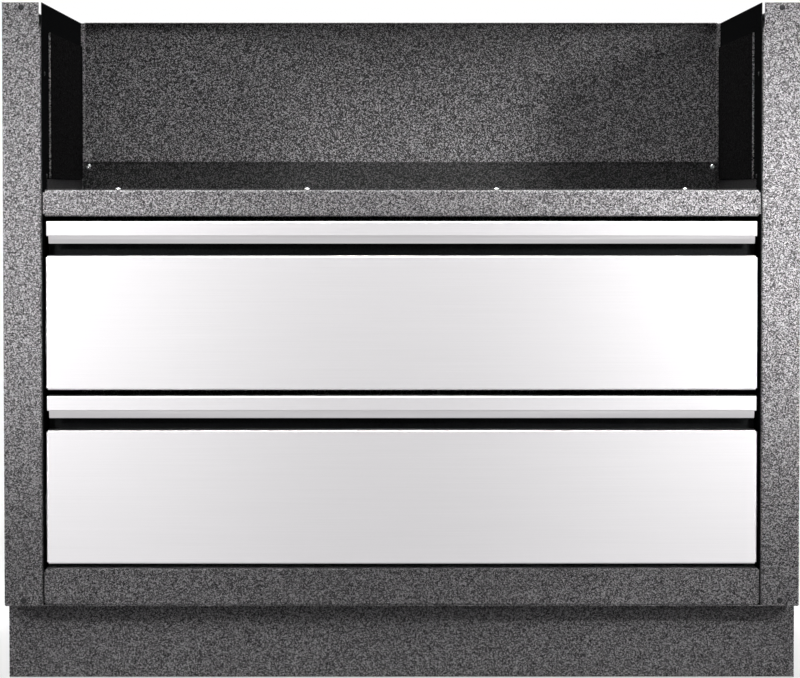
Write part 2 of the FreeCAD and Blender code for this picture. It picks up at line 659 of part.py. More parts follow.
def build_drawer(name, front_foot):
    """One drawer with its pull, box and runners."""
    front_top = front_foot + FRONT_HEIGHT
    box_foot = front_foot + BOX_RISE
    level = box_foot + RUNNER_RISE
    side = box_side(box_foot)
    outer_row = CABINET_HALF - RUNNER_SHEET - RACE / 2
    inner_row = MIDDLE_HALF - RUNNER_SHEET - RACE / 2
    outer_cage = ball_cage(level, OUTER_CAGE_WEB, CABINET_REACH - RUNNER_SHEET, outer_row)
    inner_cage = ball_cage(level, INNER_CAGE_WEB, MIDDLE_REACH - RUNNER_SHEET, inner_row)
    pieces = {
        "front_panel": front_panel(front_foot),
        "pull_cap": pull_cap(front_top),
        "pull_lip": pull_lip(front_top),
        "inner_front": inner_front(front_foot, front_top),
        "drawer_right_side": side,
        "drawer_left_side": mirrored(side),
        "drawer_bottom": box_bottom(box_foot),
        "drawer_back": box_back(box_foot),
        "outer_ball_cages": Part.makeCompound(both_sides([outer_cage])),
        "inner_ball_cages": Part.makeCompound(both_sides([inner_cage])),
    }
    for member, shape in (("cabinet_runner", cabinet_member(level)), ("middle_runner", middle_member(level)),
                          ("drawer_runner", drawer_member(level))):
        pieces["right_" + member] = shape
        pieces["left_" + member] = mirrored(shape)
    return {name + "_" + piece: shape for piece, shape in pieces.items()}


def build_all():
    """Every piece of the cabinet by its node's name."""
    parts = build_carcass()
    parts.update(build_feet())
    for order, name in enumerate(DRAWER_NAMES):
        front_foot = FRONTS_FOOT + order * (FRONT_HEIGHT + FRONT_BETWEEN_GAP)
        parts.update(build_drawer(name, front_foot))
    return parts


os.makedirs("parts", exist_ok=True)
for node, shape in build_all().items():
    shape.exportStep("parts/" + node + ".step")
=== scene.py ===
"""Looks of the under-grill cabinet: its finishes, screws, levelling feet, ball cages and studio.

Metres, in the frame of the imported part: +Z up, the drawers open towards -Y, the origin on the ground.
"""

import json
import logging
import math
from dataclasses import dataclass, replace
from enum import Enum

import bmesh
import bpy
from mathutils import Matrix, Vector


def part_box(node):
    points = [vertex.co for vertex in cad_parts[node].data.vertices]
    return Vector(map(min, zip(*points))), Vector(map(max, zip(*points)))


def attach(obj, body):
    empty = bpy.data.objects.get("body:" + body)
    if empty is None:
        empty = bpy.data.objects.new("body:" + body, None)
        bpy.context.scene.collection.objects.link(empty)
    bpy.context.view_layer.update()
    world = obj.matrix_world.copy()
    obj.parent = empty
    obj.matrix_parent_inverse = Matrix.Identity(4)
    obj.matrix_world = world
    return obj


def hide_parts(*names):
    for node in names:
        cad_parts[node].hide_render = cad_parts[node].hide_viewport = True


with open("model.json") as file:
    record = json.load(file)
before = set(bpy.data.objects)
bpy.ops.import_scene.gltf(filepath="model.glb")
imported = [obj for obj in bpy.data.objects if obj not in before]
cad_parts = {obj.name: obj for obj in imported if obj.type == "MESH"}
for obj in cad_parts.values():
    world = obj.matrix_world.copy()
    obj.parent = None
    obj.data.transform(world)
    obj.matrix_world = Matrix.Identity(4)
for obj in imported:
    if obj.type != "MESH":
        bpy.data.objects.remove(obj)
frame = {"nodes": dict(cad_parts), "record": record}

LOG = logging.getLogger("under_grill_cabinet")
Colour = tuple[float, float, float]
Point = tuple[float, float, float]
Range = tuple[float, float]
MM = 0.001
MERGE = 0.0005 * MM
SLOT_OF_NODE = {row["node"]: row["material_slot"] for row in frame["record"]["subparts"]}
NODES_OF_BODY = frame["record"]["behaviour"]["bodies"]


class Drawer(Enum):
    """The two drawers, by the word that starts the names of their nodes."""

    UPPER = "upper"
    LOWER = "lower"

    def named(self, piece: str) -> str:
        """The name of one of the drawer's nodes or bodies."""
        return f"{self.value}_{piece}"


class Side(Enum):
    """The two sides of the cabinet, with the sign of their X."""

    LEFT = -1
    RIGHT = 1

    @property
    def word(self) -> str:
        """The side as it stands in the names of nodes."""
        return self.name.lower()


class End(Enum):
    """The two ends of the cabinet that stand on feet."""

    FRONT = "front"
    REAR = "rear"


class CageRow(Enum):
    """The two cages of a runner: against the cabinet's member and against the drawer's."""

    OUTER = "outer"
    INNER = "inner"


class Slot(Enum):
    """The material slots of the record."""

    HAMMERED = "hammered_coat"
    BLACK = "black_coat"
    STAINLESS = "brushed_stainless"
    ZINC = "zinc_plate"
    STEEL = "bearing_steel"
    NYLON = "foot_plastic"


class FinishGraph:
    """The node tree of one finish, with short calls to add and join its nodes."""

    def __init__(self, name: str) -> None:
        """Starts a material with its Principled shader.

        Args:
            name: the material's name.
        """
        self.material = bpy.data.materials.new(name)
        self.material.use_nodes = True
        self.tree = self.material.node_tree
        self.shader = self.tree.nodes["Principled BSDF"]

    def add(self, kind: str, inputs: dict[str, object] | None = None, **settings: object) -> bpy.types.Node:
        """Adds a node.

        Args:
            kind: the node's type without its ShaderNode prefix.
            inputs: values for its sockets by name.
            settings: values for its own properties.

        Returns:
            The new node.
        """
        node = self.tree.nodes.new("ShaderNode" + kind)
        for name, value in settings.items():
            setattr(node, name, value)
        for name, value in (inputs or {}).items():
            node.inputs[name].default_value = value
        return node

    def join(self, source: bpy.types.NodeSocket, target: bpy.types.NodeSocket) -> None:
        """Links an output to an input."""
        self.tree.links.new(source, target)

    def shade(self, **values: object) -> None:
        """Sets sockets of the shader, named in lower case with underscores."""
        for name, value in values.items():
            self.shader.inputs[name.replace("_", " ").title().replace("Ior", "IOR")].default_value = value

    def place(self, size: Point) -> bpy.types.NodeSocket:
        """Object coordinates, counted in steps of a size per axis.

        Args:
            size: the length of one repeat along X, Y and Z.

        Returns:
            The coordinates.
        """
        coordinates = self.add("TexCoord")
        mapping = self.add("Mapping", {"Scale": tuple(1 / length for length in size)})
        self.join(coordinates.outputs["Object"], mapping.inputs["Vector"])
        return mapping.outputs["Vector"]

    def ramp(self, source: bpy.types.NodeSocket, stops: list[tuple[float, Colour]]) -> bpy.types.NodeSocket:
        """A colour ramp over a value.

        Args:
            source: the value.
            stops: positions and their colours, lowest first.

        Returns:
            The colour.
        """
        node = self.add("ValToRGB")
        elements = node.color_ramp.elements
        elements[0].position, elements[1].position = stops[0][0], stops[-1][0]
        elements[0].color, elements[1].color = (*stops[0][1], 1.0), (*stops[-1][1], 1.0)
        for position, colour in stops[1:-1]:
            elements.new(position).color = (*colour, 1.0)
        self.join(source, node.inputs["Fac"])
        return node.outputs["Color"]

    def span(self, source: bpy.types.NodeSocket, low: float, high: float) -> bpy.types.NodeSocket:
        """A value spread over a range.

        Args:
            source: the value, from 0 to 1.
            low: the result where it is 0.
            high: the result where it is 1.

        Returns:
            The spread value.
        """
        node = self.add("MapRange", {"To Min": low, "To Max": high})
        self.join(source, node.inputs["Value"])
        return node.outputs["Result"]

    def relief(self, height: bpy.types.NodeSocket, depth: float, strength: float) -> None:
        """Gives the shader a relief.

        Args:
            height: the relief's height, from 0 to 1.
            depth: how deep the relief is, in metres.
            strength: how much of it shows.
        """
        bump = self.add("Bump", {"Strength": strength, "Distance": depth})
        self.join(height, bump.inputs["Height"])
        self.join(bump.outputs["Normal"], self.shader.inputs["Normal"])


def grey(level: float, green_share: float = 0.97) -> Colour:
    """A charcoal grey with a very faint violet cast, from a little less green."""
    return (level, level * green_share, level)


@dataclass(frozen=True)
class HammeredCoat:
    """Charcoal powder coat that dries into small hammered dimples, each of its own tone and height."""

    name: str = "charcoal_hammered_coat"
    dimple: float = 1.25 * MM
    blend: float = 0.2
    depth: float = 0.35 * MM
    height_spread: float = 0.4
    strength: float = 1.0
    pit: float = 0.012
    ridge: float = 0.58
    middle: float = 0.28
    gloss: float = 0.15
    roughness: Range = (0.42, 0.58)

    def tint(self, graph: FinishGraph, colour: bpy.types.NodeSocket) -> bpy.types.NodeSocket:
        """The coat's colour as it is all over the piece."""
        return colour

    def build(self) -> bpy.types.Material:
        """Makes the coat's material.

        Returns:
            The material.
        """
        graph = FinishGraph(self.name)
        cells = graph.add("TexVoronoi", {"Scale": 1.0, "Smoothness": self.blend}, feature="SMOOTH_F1")
        graph.join(graph.place((self.dimple,) * 3), cells.inputs["Vector"])
        chance = graph.add("SeparateColor")
        graph.join(cells.outputs["Color"], chance.inputs["Color"])
        between = self.pit + self.middle * (self.ridge - self.pit)
        tones = [(0.0, grey(self.pit)), (0.5, grey(between)), (1.0, grey(self.ridge))]
        colour = graph.ramp(chance.outputs["Red"], tones)
        graph.join(self.tint(graph, colour), graph.shader.inputs["Base Color"])
        graph.join(graph.span(chance.outputs["Blue"], *self.roughness), graph.shader.inputs["Roughness"])
        graph.shade(specular_ior_level=self.gloss)
        height = graph.add("Math", operation="MULTIPLY_ADD")
        graph.join(chance.outputs["Green"], height.inputs[0])
        height.inputs[1].default_value = self.height_spread
        graph.join(cells.outputs["Distance"], height.inputs[2])
        graph.relief(height.outputs["Value"], self.depth, self.strength)
        return graph.material


@dataclass(frozen=True)
class ShieldCoat(HammeredCoat):
    """The same coat with painted shade: its colour is darkened to black on a plate's two broad faces, with
    its charcoal left on the edges as a painted highlight line.
    """

    name: str = "blackened_shield_coat"
    gloss: float = 0.0
    # painted shade: the share of the coat's colour left on the sideways broad faces
    black: float = 0.06

    def tint(self, graph: FinishGraph, colour: bpy.types.NodeSocket) -> bpy.types.NodeSocket:
        """The coat's colour, darkened as painted shade where the surface faces sideways.

        Args:
            graph: the finish that takes the nodes.
            colour: the plain coat's colour.

        Returns:
            The colour with its painted shade.
        """
        # painted shade by the surface's facing: broad faces darkened, edges left lighter as a painted
        # highlight
        surface = graph.add("NewGeometry")
        axes = graph.add("SeparateXYZ")
        graph.join(surface.outputs["Normal"], axes.inputs["Vector"])
        sideways = graph.add("Math", operation="ABSOLUTE")
        graph.join(axes.outputs["X"], sideways.inputs[0])
        painted_shade_colour = graph.add("VectorMath", operation="SCALE")
        graph.join(colour, painted_shade_colour.inputs[0])
        graph.join(graph.span(sideways.outputs["Value"], 1.0, self.black), painted_shade_colour.inputs["Scale"])
        return painted_shade_colour.outputs["Vector"]


@dataclass(frozen=True)
class GrainedFinish:
    """A finish that one fine grain colours, roughens and raises.

    The grain has its size along X, Y and Z, and its values at the tones take the low and the high colour.
    """

    name: str
    size: Point
    low: Colour
    high: Colour
    roughness: Range
    tones: Range = (0.3, 0.7)
    detail: float = 3.0
    coarseness: float = 0.5
    depth: float = 0.0
    strength: float = 0.0

    def sockets(self) -> dict[str, float]:
        """The shader's values that are the same all over the surface."""
        return {}

    def build(self) -> bpy.types.Material:
        """Makes the finish's material.

        Returns:
            The material.
        """
        graph = FinishGraph(self.name)
        noise = graph.add("TexNoise", {"Scale": 1.0, "Detail": self.detail, "Roughness": self.coarseness})
        graph.join(graph.place(self.size), noise.inputs["Vector"])
        grain = noise.outputs["Fac"]
        colour = graph.ramp(grain, [(self.tones[0], self.low), (self.tones[1], self.high)])
        graph.join(colour, graph.shader.inputs["Base Color"])
        if self.roughness[0] == self.roughness[1]:
            graph.shade(roughness=self.roughness[0])
        else:
            graph.join(graph.span(grain, *self.roughness), graph.shader.inputs["Roughness"])
        graph.shade(**self.sockets())
        if self.depth:
            graph.relief(grain, self.depth, self.strength)
        return graph.material


@dataclass(frozen=True)
class SatinCoat(GrainedFinish):
    """Black powder coat with a fine orange-peel skin."""

    name: str = "satin_black_coat"
    size: Point = (2.4 * MM,) * 3
    low: Colour = (0.005, 0.0053, 0.0055)
    high: Colour = (0.012, 0.0125, 0.013)
    roughness: Range = (0.6, 0.8)
    coarseness: float = 0.55
    depth: float = 0.12 * MM
    strength: float = 0.5
    gloss: float = 0.2

    def sockets(self) -> dict[str, float]:
        """The coat's gloss."""
        return {"specular_ior_level": self.gloss}


@dataclass(frozen=True)
class BrushedMetal(GrainedFinish):
    """Bare metal with a fine grain along X, which draws its highlights out across the grain."""

    detail: float = 5.0
    coarseness: float = 0.65
    depth: float = 0.02 * MM
    strength: float = 0.35
    anisotropic: float = 0.0
    quarter_turn: float = 0.25

    def sockets(self) -> dict[str, float]:
        """Bare metal, with its highlights turned across the grain."""
        return {"metallic": 1.0, "anisotropic": self.anisotropic, "anisotropic_rotation": self.quarter_turn}


@dataclass(frozen=True)
class BlackedSteel(GrainedFinish):
    """Blacked screw steel with a dull sheen and slight wear."""

    name: str = "blacked_screw_steel"
    size: Point = (1.2 * MM,) * 3
    low: Colour = (0.012, 0.012, 0.013)
    high: Colour = (0.05, 0.05, 0.052)
    roughness: Range = (0.3, 0.5)
    tones: Range = (0.35, 0.75)
    metal: float = 0.7

    def sockets(self) -> dict[str, float]:
        """The steel that shows through the blacking."""
        return {"metallic": self.metal}


@dataclass(frozen=True)
class MouldedNylon(GrainedFinish):
    """Black moulded nylon with a fine spark-eroded grain."""

    name: str = "black_moulded_nylon"
    size: Point = (0.6 * MM,) * 3
    low: Colour = (0.012, 0.012, 0.012)
    high: Colour = (0.03, 0.03, 0.03)
    roughness: Range = (0.55, 0.55)
    tones: Range = (0.35, 0.7)
    detail: float = 2.0
    depth: float = 0.08 * MM
    strength: float = 0.4


class Finish(Enum):
    """Every finish; the back's, the tray's and the shields' coats are darker copies of the charcoal coat
    that carry painted shade.
    """

    CHARCOAL = HammeredCoat()
    # painted shade: darker copies of the charcoal coat for the back and the tray, standing in for the shade
    # deep in the bay
    BACK = HammeredCoat("charcoal_coat_of_the_back", pit=0.003, ridge=0.42, middle=0.1)
    TRAY = HammeredCoat("charcoal_coat_of_the_tray", pit=0.001, ridge=0.095, middle=0.1)
    SHIELD = ShieldCoat()
    BLACK = SatinCoat()
    MATT = SatinCoat("matt_black_coat", gloss=0.0)
    BLACKED = BlackedSteel()
    STAINLESS = BrushedMetal("brushed_stainless_steel", (180 * MM, 0.45 * MM, 0.45 * MM),
                             (0.59, 0.578, 0.59), (0.64, 0.627, 0.64), (0.31, 0.37), anisotropic=0.7)
    ZINC = BrushedMetal("bright_zinc_plate", (6 * MM, 4 * MM, 4 * MM),
                        (0.62, 0.63, 0.65), (0.84, 0.85, 0.87), (0.18, 0.36))
    STEEL = BrushedMetal("bearing_steel", (9 * MM, 2 * MM, 2 * MM),
                         (0.52, 0.52, 0.53), (0.62, 0.62, 0.63), (0.12, 0.25))
    NYLON = MouldedNylon()

    @property
    def material(self) -> bpy.types.Material:
        """The finish's material, made when it is first asked for."""
        return bpy.data.materials.get(self.value.name) or self.value.build()


PLAIN_FINISH = {
    Slot.HAMMERED: Finish.CHARCOAL, Slot.BLACK: Finish.BLACK, Slot.STAINLESS: Finish.STAINLESS,
    Slot.ZINC: Finish.ZINC, Slot.STEEL: Finish.STEEL, Slot.NYLON: Finish.NYLON,
}


def dress_body(body: str, own: dict[str, Finish] | None = None) -> None:
    """Gives each node of a body its finish.

    Args:
        body: the body's name.
        own: the finishes of nodes that differ from the plain one of their slot in the record.
    """
    for node in NODES_OF_BODY[body]:
        finish = (own or {}).get(node, PLAIN_FINISH[Slot(SLOT_OF_NODE[node])])
        materials = frame["nodes"][node].data.materials
        materials.clear()
        materials.append(finish.material)
        LOG.info("node %s takes %s", node, finish.value.name)


def finished_piece(name: str, mesh: bmesh.types.BMesh, finish: Finish, body: str,
                   stands_for: list[str], smooth_angle: float = 35.0) -> None:
    """Turns a bmesh into a piece that rides on a body.

    Args:
        name: the piece's name.
        mesh: its shape, in place; it is freed.
        finish: its finish.
        body: the body that it rides on.
        stands_for: the nodes that it replaces.
        smooth_angle: edges sharper than this, in degrees, stay sharp.
    """
    bmesh.ops.recalc_face_normals(mesh, faces=mesh.faces)
    limit = math.radians(smooth_angle)
    for face in mesh.faces:
        face.smooth = True
    for edge in mesh.edges:
        edge.smooth = len(edge.link_faces) == 2 and edge.calc_face_angle() < limit
    data = bpy.data.meshes.new(name)
    mesh.to_mesh(data)
    mesh.free()
    data.materials.append(finish.material)
    piece = bpy.data.objects.new(name, data)
    bpy.context.scene.collection.objects.link(piece)
    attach(piece, body)
    if stands_for:
        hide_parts(*stands_for)
    LOG.info("piece %s on %s, %d faces", name, body, len(data.polygons))


def islands(node: str) -> list[tuple[Vector, Vector]]:
    """The boxes of a node's separate solids.

    Args:
        node: the node's name.

    Returns:
        The lowest and highest corner of each solid, from left to right.
    """
    mesh = bmesh.new()
    mesh.from_mesh(frame["nodes"][node].data)
    bmesh.ops.remove_doubles(mesh, verts=mesh.verts, dist=MERGE)
    waiting = set(mesh.verts)
    boxes = []
    while waiting:
        group, border = set(), [waiting.pop()]
        while border:
            vertex = border.pop()
            group.add(vertex)
            reached = {edge.other_vert(vertex) for edge in vertex.link_edges} & waiting
            waiting -= reached
            border.extend(reached)
        low = Vector(min(vertex.co[axis] for vertex in group) for axis in range(3))
        high = Vector(max(vertex.co[axis] for vertex in group) for axis in range(3))
        boxes.append((low, high))
    mesh.free()
    return sorted(boxes, key=lambda box: tuple(box[0]))


def turn_profile(mesh: bmesh.types.BMesh, profile: list[tuple[float, float]],
                 steps: int) -> list[bmesh.types.BMVert]:
    """Turns a profile about Z into a closed skin.

    Args:
        mesh: the bmesh that takes it.
        profile: radius and height of each point; the first and last lie on the axis.
        steps: the number of steps round the turn.

    Returns:
        The new vertices.
    """
    before = set(mesh.verts)
    line = [mesh.verts.new((radius, 0, height)) for radius, height in profile]
    edges = [mesh.edges.new(pair) for pair in zip(line, line[1:])]
    bmesh.ops.spin(mesh, geom=line + edges, cent=(0, 0, 0), axis=(0, 0, 1), angle=2 * math.pi, steps=steps,
                   use_merge=True, use_duplicate=False)
    made = [vertex for vertex in mesh.verts if vertex not in before]
    bmesh.ops.remove_doubles(mesh, verts=made, dist=MERGE)
    return [vertex for vertex in mesh.verts if vertex not in before]


@dataclass(frozen=True)
class DomeScrew:
    """A dome-head screw with a six-sided socket."""

    head: float = 7.6 * MM
    rise: float = 2.4 * MM
    shank: float = 4.0 * MM
    length: float = 5.0 * MM
    socket: float = 3.0 * MM
    socket_depth: float = 1.5 * MM
    socket_sides: int = 6
    steps: int = 24
    rim_share: float = 0.25
    dome_shares: tuple[float, ...] = (1.0, 0.9, 0.76, 0.6)
    socket_mouth: float = 1.15
    socket_lead: float = 0.1 * MM
    drill_point: float = 1 / 3
    near: float = 0.01 * MM

    def add(self, mesh: bmesh.types.BMesh, seat: Vector, axis: Vector) -> None:
        """Adds one screw.

        Args:
            mesh: the bmesh that takes it.
            seat: where its head rests on the sheet.
            axis: the way its head points.
        """
        radius, shank, reach = self.head / 2, self.shank / 2, self.socket / 2
        rim = self.rise * self.rim_share
        crown = self.rise - rim
        dome = (radius ** 2 + crown ** 2) / (2 * crown)
        widths = [radius * share for share in self.dome_shares] + [reach * self.socket_mouth]
        arc = [(width, rim + math.sqrt(dome ** 2 - width ** 2) - (dome - crown)) for width in widths]
        mouth = arc[-1][1]
        floor = mouth - self.socket_depth
        profile = [(0, -self.length), (shank, -self.length), (shank, 0), (radius, 0), *arc,
                   (reach, mouth - self.socket_lead), (reach, floor), (0, floor - reach * self.drill_point)]
        made = turn_profile(mesh, profile, self.steps)
        flat = math.pi / self.socket_sides
        for vertex in made:
            off_axis = math.hypot(vertex.co.x, vertex.co.y)
            if vertex.co.z > floor - self.near and abs(off_axis - reach) < self.near:
                swing = math.atan2(vertex.co.y, vertex.co.x) % (2 * flat) - flat
                vertex.co.xy = vertex.co.xy * (math.cos(flat) / math.cos(swing))
        place = Matrix.Translation(seat) @ axis.to_track_quat("Z", "Y").to_matrix().to_4x4()
        bmesh.ops.transform(mesh, matrix=place, verts=made)


SMALL_SCREW = DomeScrew(head=5.6 * MM, rise=1.6 * MM, shank=3.0 * MM, length=3.2 * MM, socket=2.2 * MM,
                        socket_depth=1.0 * MM, steps=18)


@dataclass
class Carcass:
    """The sheet-metal carcass round the bay and the drawers, with its screws."""

    body: str = "cabinet"
    screw: DomeScrew = DomeScrew()
    axis_margin: float = 0.1 * MM
    panel_spots: tuple[tuple[float, float], ...] = ((30 * MM, 821 * MM), (55 * MM, 684 * MM))
    back_edge: float = 8 * MM
    back_end: float = 28 * MM
    back_rows: int = 4
    back_length: float = 2.2 * MM
    step_length: float = 4.9 * MM

    def dress(self) -> None:
        """Gives the carcass its finishes, with the bay darker than the outside as painted shade: darker
        coats on the back, the tray and the shield plates.
        """
        # painted shade: the back, the tray and the shield plates take the darkened copies of the coat
        own = {"back_panel": Finish.BACK, "grill_tray": Finish.TRAY}
        for side in Side:
            own[f"{side.word}_shield_plate"] = Finish.SHIELD
            own[f"{side.word}_inner_panel"] = Finish.MATT
        dress_body(self.body, own)

    def finish_screws(self, node: str, finish: Finish) -> None:
        """Puts a finished screw in place of each plain one of a node.

        Args:
            node: the node of plain screws; those seated on the tray point up, the others to the front.
            finish: their finish.
        """
        mesh = bmesh.new()
        for low, high in islands(node):
            size = high - low
            middle = (low + high) / 2
            screw = replace(self.screw, length=min(size) - self.screw.rise)
            if size.z < size.x - self.axis_margin:
                screw.add(mesh, Vector((middle.x, middle.y, high.z - screw.rise)), Vector((0, 0, 1)))
            else:
                screw.add(mesh, Vector((middle.x, low.y + screw.rise, middle.z)), Vector((0, -1, 0)))
        finished_piece(node + "_finished", mesh, finish, self.body, [node])

    def panel_screws(self) -> None:
        """Makes the small screws through the inner panels beside the bay."""
        mesh = bmesh.new()
        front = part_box("base_rail")[0].y
        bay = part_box("right_inner_panel")[0].x
        for side in Side:
            for setback, height in self.panel_spots:
                seat = Vector((side.value * bay, front + setback, height))
                SMALL_SCREW.add(mesh, seat, Vector((-side.value, 0, 0)))
        finished_piece("inner_panel_screws", mesh, Finish.BLACKED, self.body, [])

    def back_screws(self) -> None:
        """Makes the screws from behind, through the rear flanges into the back, longer above its step."""
        mesh = bmesh.new()
        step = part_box("grill_tray")[1].z
        low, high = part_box("back_panel")
        foot, top = low.z + self.back_end, high.z - self.back_end
        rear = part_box("right_side_panel")[1].y
        for side in Side:
            for row in range(self.back_rows):
                height = foot + (top - foot) * row / (self.back_rows - 1)
                seat = Vector((side.value * (high.x - self.back_edge), rear, height))
                length = self.step_length if height > step else self.back_length
                replace(SMALL_SCREW, length=length).add(mesh, seat, Vector((0, 1, 0)))
        finished_piece("back_panel_screws", mesh, Finish.ZINC, self.body, [])

    def build(self) -> None:
        """Dresses the carcass and makes its screws."""
        self.dress()
        self.finish_screws("tray_screws", Finish.ZINC)
        self.finish_screws("stile_screws", Finish.BLACKED)
        self.panel_screws()
        self.back_screws()


@dataclass
class DrawerUnit:
    """One drawer with its front, its pull and the moving members of its runners."""

    drawer: Drawer
    runner_end: float = 60 * MM
    runner_rows: int = 3
    runner_web: float = 1.2 * MM
    pull_end: float = 100 * MM
    pull_drop: float = 9 * MM
    pull_count: int = 4

    def dress(self) -> None:
        """Gives the drawer its finishes, with a matt inner front behind the finger gap."""
        dress_body(self.drawer.named("drawer"), {self.drawer.named("inner_front"): Finish.MATT})
        dress_body(self.drawer.named("middle_runners"))

    def screws(self) -> None:
        """Makes the screws of the runner members on the sides and of the pull on the inner front."""
        mesh = bmesh.new()
        low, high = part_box(self.drawer.named("right_drawer_runner"))
        web = low.x + self.runner_web
        for side in Side:
            for row in range(self.runner_rows):
                along = (high.y - low.y - 2 * self.runner_end) * row / (self.runner_rows - 1)
                seat = Vector((side.value * web, low.y + self.runner_end + along, (low.z + high.z) / 2))
                SMALL_SCREW.add(mesh, seat, Vector((side.value, 0, 0)))
        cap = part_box(self.drawer.named("pull_cap"))[1]
        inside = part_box(self.drawer.named("drawer_left_side"))[0].y
        reach = cap.x - self.pull_end
        for number in range(self.pull_count):
            across = reach * (2 * number / (self.pull_count - 1) - 1)
            SMALL_SCREW.add(mesh, Vector((across, inside, cap.z - self.pull_drop)), Vector((0, 1, 0)))
        finished_piece(self.drawer.named("drawer_screws"), mesh, Finish.ZINC,
                       self.drawer.named("drawer"), [])

    def build(self) -> None:
        """Dresses the drawer and makes its screws."""
        self.dress()
        self.screws()


@dataclass
class LevellingFoot:
    """A threaded stud on a six-sided nylon pad."""

    end: End
    side: Side
    pitch: float = 1.5 * MM
    thread_depth: float = 0.75 * MM
    thread_crest: float = 0.42
    thread_foot: float = 0.84
    thread_root: float = 0.1 * MM
    steps: int = 16
    collar: float = 9.0 * MM
    collar_edge: float = 0.6 * MM
    tip: float = 1.0 * MM
    pad_sides: int = 6
    pad_base: float = 7.0 * MM
    pad_shoulder: float = 8.0 * MM
    pad_edge: float = 1.2 * MM
    pad_edge_steps: int = 3

    @property
    def body(self) -> str:
        """The foot's body, whose name also starts the names of its nodes."""
        return f"{self.end.value}_{self.side.word}_foot"

    def thread(self, core: float, outer: float, turns: int) -> bpy.types.Mesh:
        """Winds the thread about Z, from the ground up: one turn, then copies of it joined end to end.

        Args:
            core: the radius at the thread's root.
            outer: the radius at its crest.
            turns: the number of turns.

        Returns:
            The thread, closed at both ends.
        """
        mesh = bmesh.new()
        root = core - self.thread_root
        crest, foot = self.pitch * self.thread_crest, self.pitch * self.thread_foot
        section = [(root, 0.0), (outer, crest), (root, foot)]
        ring = [mesh.verts.new((radius, 0, level)) for radius, level in section]
        edges = [mesh.edges.new(pair) for pair in zip(ring, ring[1:] + ring[:1])]
        bmesh.ops.spin(mesh, geom=ring + edges, cent=(0, 0, 0), axis=(0, 0, 1), angle=2 * math.pi,
                       steps=self.steps, dvec=(0, 0, self.pitch / self.steps), use_merge=False,
                       use_duplicate=False)
        shape = bpy.data.meshes.new("thread")
        mesh.to_mesh(shape)
        for number in range(1, turns):
            count = len(mesh.verts)
            mesh.from_mesh(shape)
            mesh.verts.ensure_lookup_table()
            bmesh.ops.translate(mesh, vec=(0, 0, number * self.pitch), verts=mesh.verts[count:])
        bmesh.ops.remove_doubles(mesh, verts=mesh.verts, dist=MERGE)
        ends = [edge for edge in mesh.edges if edge.is_boundary]
        bmesh.ops.holes_fill(mesh, edges=ends, sides=len(section))
        mesh.to_mesh(shape)
        mesh.free()
        return shape

    def stud(self) -> None:
        """Makes the stud: a core with a chamfered tip and a thread wound up it."""
        name = self.body + "_stud"
        low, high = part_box(name)
        middle = (low + high) / 2
        outer = (high.x - low.x) / 2
        core = outer - self.thread_depth
        height = high.z - low.z
        start = self.collar + self.collar_edge
        turns = int((height - self.tip - start) / self.pitch) - 1
        thread = self.thread(core, outer, turns)
        mesh = bmesh.new()
        mesh.from_mesh(thread)
        bpy.data.meshes.remove(thread)
        bmesh.ops.translate(mesh, vec=(0, 0, start), verts=mesh.verts)
        profile = [(0, 0), (outer, 0), (outer, self.collar), (core, start), (core, height - self.tip),
                   (core - self.tip, height), (0, height)]
        turn_profile(mesh, profile, self.steps)
        bmesh.ops.translate(mesh, vec=(middle.x, middle.y, low.z), verts=mesh.verts)
        finished_piece(name + "_threaded", mesh, Finish.ZINC, self.body, [name])

    def pad(self) -> None:
        """Makes the pad: a six-sided base with softened edges round its socket."""
        name = self.body + "_pad"
        low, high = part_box(name)
        middle = (low + high) / 2
        across = (high.y - low.y) / 2
        height = high.z - low.z
        mesh = bmesh.new()
        corner = across / math.cos(math.pi / self.pad_sides)
        made = bmesh.ops.create_cone(mesh, cap_ends=True, segments=self.pad_sides, radius1=corner,
                                     radius2=corner, depth=self.pad_base)["verts"]
        bmesh.ops.rotate(mesh, cent=(0, 0, 0), matrix=Matrix.Rotation(math.pi / 2, 3, "Z"), verts=made)
        bmesh.ops.translate(mesh, vec=(0, 0, self.pad_base / 2), verts=made)
        top = [max(mesh.faces, key=lambda face: face.calc_center_median().z)]
        raised = bmesh.ops.extrude_face_region(mesh, geom=top)["geom"]
        lifted = [item for item in raised if isinstance(item, bmesh.types.BMVert)]
        inwards = (across - self.pad_shoulder) / across
        bmesh.ops.scale(mesh, vec=(inwards, inwards, 1), verts=lifted)
        bmesh.ops.translate(mesh, vec=(0, 0, height - self.pad_base), verts=lifted)
        bmesh.ops.delete(mesh, geom=top, context="FACES_ONLY")
        bmesh.ops.bevel(mesh, geom=list(mesh.edges), offset=self.pad_edge, affect="EDGES",
                        segments=self.pad_edge_steps, profile=0.5, material=-1)
        bmesh.ops.translate(mesh, vec=(middle.x, middle.y, low.z), verts=mesh.verts)
        finished_piece(name + "_moulded", mesh, Finish.NYLON, self.body, [name])

    def build(self) -> None:
        """Dresses the foot's plain solids and makes the stud and the pad."""
        dress_body(self.body)
        self.stud()
        self.pad()


